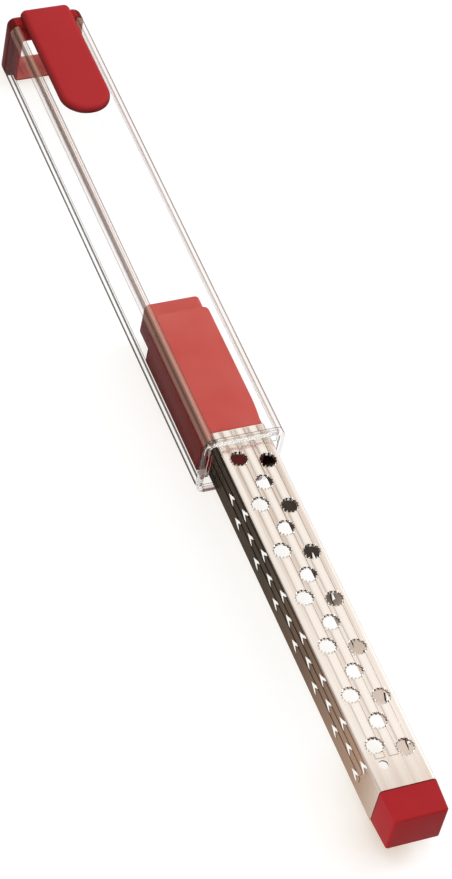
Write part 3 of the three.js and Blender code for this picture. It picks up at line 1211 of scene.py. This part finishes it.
@dataclass
class Blade(Assembly):
    """The folded steel channel with its star holes and side teeth."""

    sheet: float = 0.5 * MM
    fold: float = 1.0 * MM
    ridge_rise: float = 0.3 * MM
    ridge_width: float = 2.4 * MM
    ridge_tail: float = 10.0 * MM
    ridge_slope: float = 0.7 * MM
    side_ridge_rise: float = 0.15 * MM
    side_ridge_width: float = 2.0 * MM
    star_tip: float = 2.85 * MM
    star_root: float = 2.4 * MM
    star_teeth: int = 14
    tooth_height: float = 0.7 * MM
    tooth_gauge: float = 0.25 * MM
    tooth_share: float = 0.72
    tooth_taper: tuple[float, float, float] = (0.5, 0.1, 1.0)
    star_column: float = 4.12 * MM
    star_start: float = 12.3 * MM
    star_tail: float = 12.9 * MM
    star_stagger: float = 1.23 * MM
    star_rows: int = 7
    chevron_start: float = 18.3 * MM
    chevron_tail: float = 20.5 * MM
    chevron_rows: int = 7
    chevron_spacing: float = 3.5 * MM
    chevron_middle: float = 5.9 * MM
    chevron_front_lag: float = 8.7 * MM
    chevron_back_lag: float = 6.3 * MM
    chevron_rise: float = 1.6 * MM
    chevron_band: float = 1.1 * MM
    near_slit: Slit = Slit(-1, 0.5 * MM, 0.73 * MM, 1.85 * MM, 1.06 * MM)
    far_slit: Slit = Slit(1, 1.9 * MM, 2.8 * MM, 3.0 * MM, 1.6 * MM)
    tab_lift: float = 0.1 * MM
    tab_span: float = 3.1 * MM
    tab_lead: float = 0.25 * MM
    eye_radius: float = 1.4 * MM
    eye_sides: int = 32
    eye_tail: float = 7.8 * MM
    body: Body = Body.GRATER

    def __post_init__(self) -> None:
        """Reads the blade's box."""
        self.low, self.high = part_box("grater_blade")
        self.front = self.high.z - self.ridge_rise

    def levels(self, start: float, tail: float, rows: int) -> list[float]:
        """Even places along Y, from a start behind the case's end to a tail before the tip."""
        pitch = (self.high.y - self.low.y - start - tail) / (rows - 1)
        return [self.high.y - start - row * pitch for row in range(rows)]

    def star_places(self) -> list[Vector]:
        """Finds the centres of the star holes on the front.

        Returns:
            The centres.
        """
        levels = self.levels(self.star_start, self.star_tail, self.star_rows)
        spots = [(0, (level + after) / 2) for level, after in zip(levels, levels[1:])]
        for side in (-1, 1):
            spots += [(side * self.star_column, y - side * self.star_stagger) for y in levels]
        return [Vector((x, y, self.front)) for x, y in spots]

    def chevron_places(self) -> list[Vector]:
        """Finds the tips of the side cuts, on the middle plane.

        Returns:
            The tips.
        """
        levels = self.levels(self.chevron_start, self.chevron_tail, self.chevron_rows)
        middle = self.front - self.chevron_middle
        columns = (
            (0.0, middle),
            (self.chevron_front_lag, middle + self.chevron_spacing),
            (self.chevron_back_lag, middle - self.chevron_spacing),
        )
        return [Vector((0, level - lag, z)) for level in levels for lag, z in columns]

    def channel(self) -> Bench:
        """Models the folded sheet, before it is cut.

        Returns:
            The channel.
        """
        sheet = Bench.box("blade_sheet", self.low, (self.high.x, self.high.y, self.front))
        sheet.round_along_y(self.fold, Steps.FOLD, self.low.z + self.fold)
        sheet.edit(
            Part.FACE,
            lambda centre, normal: normal.z < -FACING or abs(normal.y) > FACING,
            partial(bpy.ops.mesh.delete, type="FACE"),
        )
        return sheet.modify("SOLIDIFY", thickness=self.sheet, offset=-1)

    def ridges(self) -> Bench:
        """Models the raised strips along the star columns and down both sides.

        Returns:
            The strips, as one.
        """
        start, end = self.low.y + self.ridge_tail, self.high.y - self.sheet
        half = self.ridge_width / 2 + self.ridge_slope
        foot = self.front - self.sheet / 2
        strip = Bench.box("ridge", (-half, start, foot), (half, end, self.high.z))
        strip.stretch(Part.FACE, upward, (self.ridge_width / (2 * half), 1, 1), (0, 0, 0))
        columns = (-self.star_column, 0, self.star_column)
        fronts = strip.spread("ridge", [Matrix.Translation((x, 0, 0)) for x in columns])
        half = self.side_ridge_width / 2
        middle = self.front - self.chevron_middle
        strip = Bench.box(
            "side_ridge",
            (self.high.x - self.sheet / 2, start, middle - half),
            (self.high.x + self.side_ridge_rise, end, middle + half),
        )
        levels = (-self.chevron_spacing, 0, self.chevron_spacing)
        moves = [
            Matrix.Translation((0, 0, level)) @ Matrix.Diagonal((side, 1, 1, 1))
            for side in (-1, 1)
            for level in levels
        ]
        return Bench.merged([fronts, strip.spread("side_ridge", moves)])

    def star_cutters(self) -> Bench:
        """Models the cutters of the openings in the front.

        Returns:
            The cutters, as one.
        """
        depth = 6 * self.sheet
        star = Bench.drum("star", (0, 0, 0), self.star_tip, depth, 2 * self.star_teeth)
        shrink = self.star_root / self.star_tip
        star.stretch(Part.VERT, self.is_root, (shrink, shrink, 1), (0, 0, 0))
        stars = star.spread("star", [Matrix.Translation(place) for place in self.star_places()])
        eye = Vector((-self.star_column, self.low.y + self.eye_tail, self.front))
        hole = Bench.drum("eye", eye, self.eye_radius, depth, self.eye_sides)
        return Bench.merged([stars, hole])

    def is_root(self, place: Vector) -> bool:
        """Picks every second corner of a star, where a tooth stands."""
        index = round(math.atan2(place.y, place.x) * self.star_teeth / math.pi)
        return index % 2 == 0

    def slit_cutters(self, slit: Slit) -> Bench:
        """Models the cutters of one kind of side cut.

        Args:
            slit: Wall and measures of the cut.

        Returns:
            The cutters.
        """
        wall, reach, half = slit.side * self.high.x, 2 * self.sheet, slit.span / 2
        cutter = Bench.box(
            "chevron",
            (wall - reach, -slit.lag - slit.band, -half),
            (wall + reach, -slit.lag, half),
        )
        cutter.split((0, 0, 0), (0, 0, 1))
        cutter.shift(Part.VERT, lambda co: abs(co.z) > NEAR, (0, -slit.rise, 0))
        moves = [Matrix.Translation(place) for place in self.chevron_places()]
        return cutter.spread("chevron", moves)

    def tooth(self) -> Bench:
        """Models one raised tooth at the root circle of a star, on the X axis.

        Returns:
            The tooth.
        """
        half = math.pi * self.star_root / self.star_teeth * self.tooth_share
        tooth = Bench.box(
            "tooth",
            (self.star_root - self.tooth_gauge / 2, -half, -self.sheet),
            (self.star_root + self.tooth_gauge / 2, half, self.tooth_height),
        )
        tooth.stretch(Part.FACE, upward, self.tooth_taper, (self.star_root, 0, 0))
        return tooth.shift(Part.FACE, upward, (self.tooth_gauge, 0, 0))

    def star_crowns(self) -> Bench:
        """Turns copies of the tooth round one star, and copies that crown to every star.

        Returns:
            All crowns, as one.
        """
        step = 2 * math.pi / self.star_teeth
        turns = [Matrix.Rotation(step * index, 4, "Z") for index in range(self.star_teeth)]
        lift = Vector((0, 0, self.ridge_rise / 2))
        moves = [Matrix.Translation(place + lift) for place in self.star_places()]
        return self.tooth().spread("crown", turns).spread("star_teeth", moves)

    def tab(self) -> Bench:
        """Models one lifted arrow-shaped tooth of the left wall, with its tip at the origin.

        Returns:
            The tooth.
        """
        half = self.tab_span / 2
        length = self.chevron_rise + 2 * self.chevron_band
        gauge = self.side_ridge_rise + self.sheet / 4
        tab = Bench.box("tab", (-gauge, -length, -half), (0, 0, half))
        tab.split((0, 0, 0), (0, 0, 1))
        sweep = (0, -self.chevron_rise - self.chevron_band, 0)
        tab.shift(Part.VERT, lambda co: abs(co.z) > NEAR and co.y > -NEAR, sweep)
        notch = (0, self.chevron_rise, 0)
        tab.shift(Part.VERT, lambda co: abs(co.z) < NEAR and co.y < NEAR - length, notch)
        return tab.shift(Part.VERT, lambda co: co.y > -NEAR, (-self.tab_lift, 0, 0))

    def side_teeth(self) -> Bench:
        """Copies the tab to every side cut on both walls.

        Returns:
            All side teeth, as one.
        """
        moves = []
        for place in self.chevron_places():
            for side in (-1, 1):
                wall = Vector((side * self.high.x, place.y + self.tab_lead, place.z))
                moves.append(Matrix.Translation(wall) @ Matrix.Diagonal((-side, 1, 1, 1)))
        return self.tab().spread("side_teeth", moves)

    def make(self) -> None:
        """Builds and dresses the blade."""
        steel = StampedSteel(
            "stamped_steel", self.high.x, self.front, self.low.y, self.high.y, self.star_column
        ).material()
        teeth = BRIGHT_TEETH.material()
        # Painted shade for the cut faces of the holes and side cuts.
        edge = SHADED_CUT_EDGE.material()
        sheet = self.channel()
        sheet.obj.data.materials.append(steel)
        sheet.combine(self.ridges(), "UNION")
        slits = [self.slit_cutters(slit) for slit in (self.near_slit, self.far_slit)]
        for cutter in (self.star_cutters(), Bench.merged(slits)):
            cutter.obj.data.materials.append(edge)
            sheet.combine(cutter, "DIFFERENCE")
        self.dress(sheet.smooth(), steel, "steel", "grater_blade")
        self.dress(self.star_crowns(), teeth, "steel")
        self.dress(self.side_teeth(), teeth, "steel")


@dataclass
class TipCap(Assembly):
    """The red cuboid at the free end of the blade."""

    length: float = 9.8 * MM
    draft: float = 0.4 * MM
    edge: float = 0.75 * MM
    plug_inset: float = 0.8 * MM
    body: Body = Body.GRATER

    def build(self) -> Bench:
        """Models the cap with its plug.

        Returns:
            The cap.
        """
        low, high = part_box("tip_cap")
        shoulder = low.y + self.length
        cap = Bench.box("tip_block", low, (high.x, shoulder, high.z))
        centre = (low + high) / 2
        scale = 1 - self.draft / high.x
        cap.stretch(Part.FACE, lambda place, normal: normal.y < -FACING, (scale, 1, scale), centre)
        cap.round_edges(
            lambda a, b: max(a.y, b.y) < shoulder - NEAR or abs(a.y - b.y) > NEAR,
            self.edge,
            Steps.FOLD,
        )
        inset = Vector((self.plug_inset, 0, self.plug_inset))
        plug = Bench.box(
            "plug", Vector((low.x, shoulder - self.edge, low.z)) + inset, high - inset
        ).soften(self.edge / 2, Steps.EDGE)
        return Bench.merged([cap, plug]).smooth()

    def make(self) -> None:
        """Builds and dresses the tip."""
        self.dress(self.build(), RED_SATIN.material(), "red_plastic", "tip_cap")


@dataclass(frozen=True)
class Lamp:
    """A soft square lamp: its place, what it faces, its side in metres and its watts."""

    name: str
    place: Triple
    aim: Triple
    size: float
    power: float

    def make(self) -> None:
        """Adds the lamp to the scene."""
        data = bpy.data.lights.new(self.name, "AREA")
        data.size = self.size
        data.energy = self.power
        obj = bpy.data.objects.new(self.name, data)
        obj.location = self.place
        ray = Vector(self.place) - Vector(self.aim)
        obj.rotation_euler = ray.to_track_quat("Z", "Y").to_euler()
        bpy.context.scene.collection.objects.link(obj)


@dataclass
class Studio:
    """Floor, light and camera."""

    azimuth: float = -31.6086
    elevation: float = 49.3176
    roll: float = -13.7307
    distance: float = 946.9 * MM
    focal_px: float = 3217.2
    image_height: float = 879.0
    sensor_height: float = 24.0
    clip_end: float = 20.0
    target: tuple[float, float, float] = (-1.65 * MM, -16.88 * MM, 12.0 * MM)
    floor_size: float = 4.0
    floor_drop: float = 0.02 * MM
    sky: Colour = (1.0, 0.985, 0.965, 1.0)
    dusk: Colour = (0.1, 0.092, 0.085, 1.0)
    sky_level: float = 1.0
    sky_base: float = 0.42
    sky_slopes: Triple = (0.2, 0.28, 0.58)
    side_lamp: Lamp = Lamp("side", (0.9, 0.1, 0.6), (0, 0, 0), 0.4, 4.5)
    fill_lamp: Lamp = Lamp("fill", (-0.27, -0.26, 0.08), (0, -0.15, 0.01), 0.12, 0.55)

    def camera(self) -> None:
        """Places the camera at the photograph's viewing angle."""
        data = bpy.data.cameras.new("camera")
        data.sensor_fit = "VERTICAL"
        data.sensor_height = self.sensor_height
        data.lens = data.sensor_height * self.focal_px / self.image_height
        data.clip_end = self.clip_end
        turn, rise, roll = (math.radians(a) for a in (self.azimuth, self.elevation, self.roll))
        obj = bpy.data.objects.new("camera", data)
        obj.matrix_world = (
            Matrix.Translation(self.target)
            @ Matrix.Rotation(turn, 4, "Z")
            @ Matrix.Rotation(math.pi / 2 - rise, 4, "X")
            @ Matrix.Rotation(-roll, 4, "Z")
            @ Matrix.Translation((0, 0, self.distance))
        )
        bpy.context.scene.collection.objects.link(obj)
        bpy.context.scene.camera = obj

    def floor(self) -> None:
        """Lays the pale floor just under the case."""
        Bench.clear()
        place = (0, 0, -self.floor_drop)
        bpy.ops.mesh.primitive_plane_add(size=self.floor_size, location=place)
        plane = bpy.context.active_object
        plane.name = "floor"
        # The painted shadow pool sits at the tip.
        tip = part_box("tip_cap")[0]
        plane.data.materials.append(StudioFloor(tip.x / 2, tip.y).material())

    def light(self) -> None:
        """Sets the world and the lamps."""
        world = bpy.data.worlds.new("studio")
        bpy.context.scene.world = world
        graph = Graph(world)
        place = graph.node("TexCoord", {}, "Generated")
        across = graph.node("SeparateXYZ", {"Vector": place}, "X")
        share = self.sky_base
        for slope, axis in zip(self.sky_slopes, (across, *graph.twins(across, "Y", "Z"))):
            share = share + slope * axis
        tone = graph.blend(share.clamped(), self.dusk, self.sky)
        inputs = {"Color": tone, "Strength": self.sky_level}
        graph.finish(graph.node("Background", inputs))
        self.side_lamp.make()
        self.fill_lamp.make()

    def make(self) -> None:
        """Builds the whole studio."""
        self.camera()
        self.floor()
        self.light()
        bpy.context.scene.view_settings.view_transform = "Standard"


def main() -> None:
    """Builds the studio and every sub-assembly; each piece logs its face count."""
    logging.basicConfig(level=logging.INFO, format="%(name)s %(message)s")
    Studio().make()
    for assembly in (ClearCase(), EndCollar(), PocketClip(), Carriage(), Blade(), TipCap()):
        assembly.make()


if __name__ == "__main__":
    main()
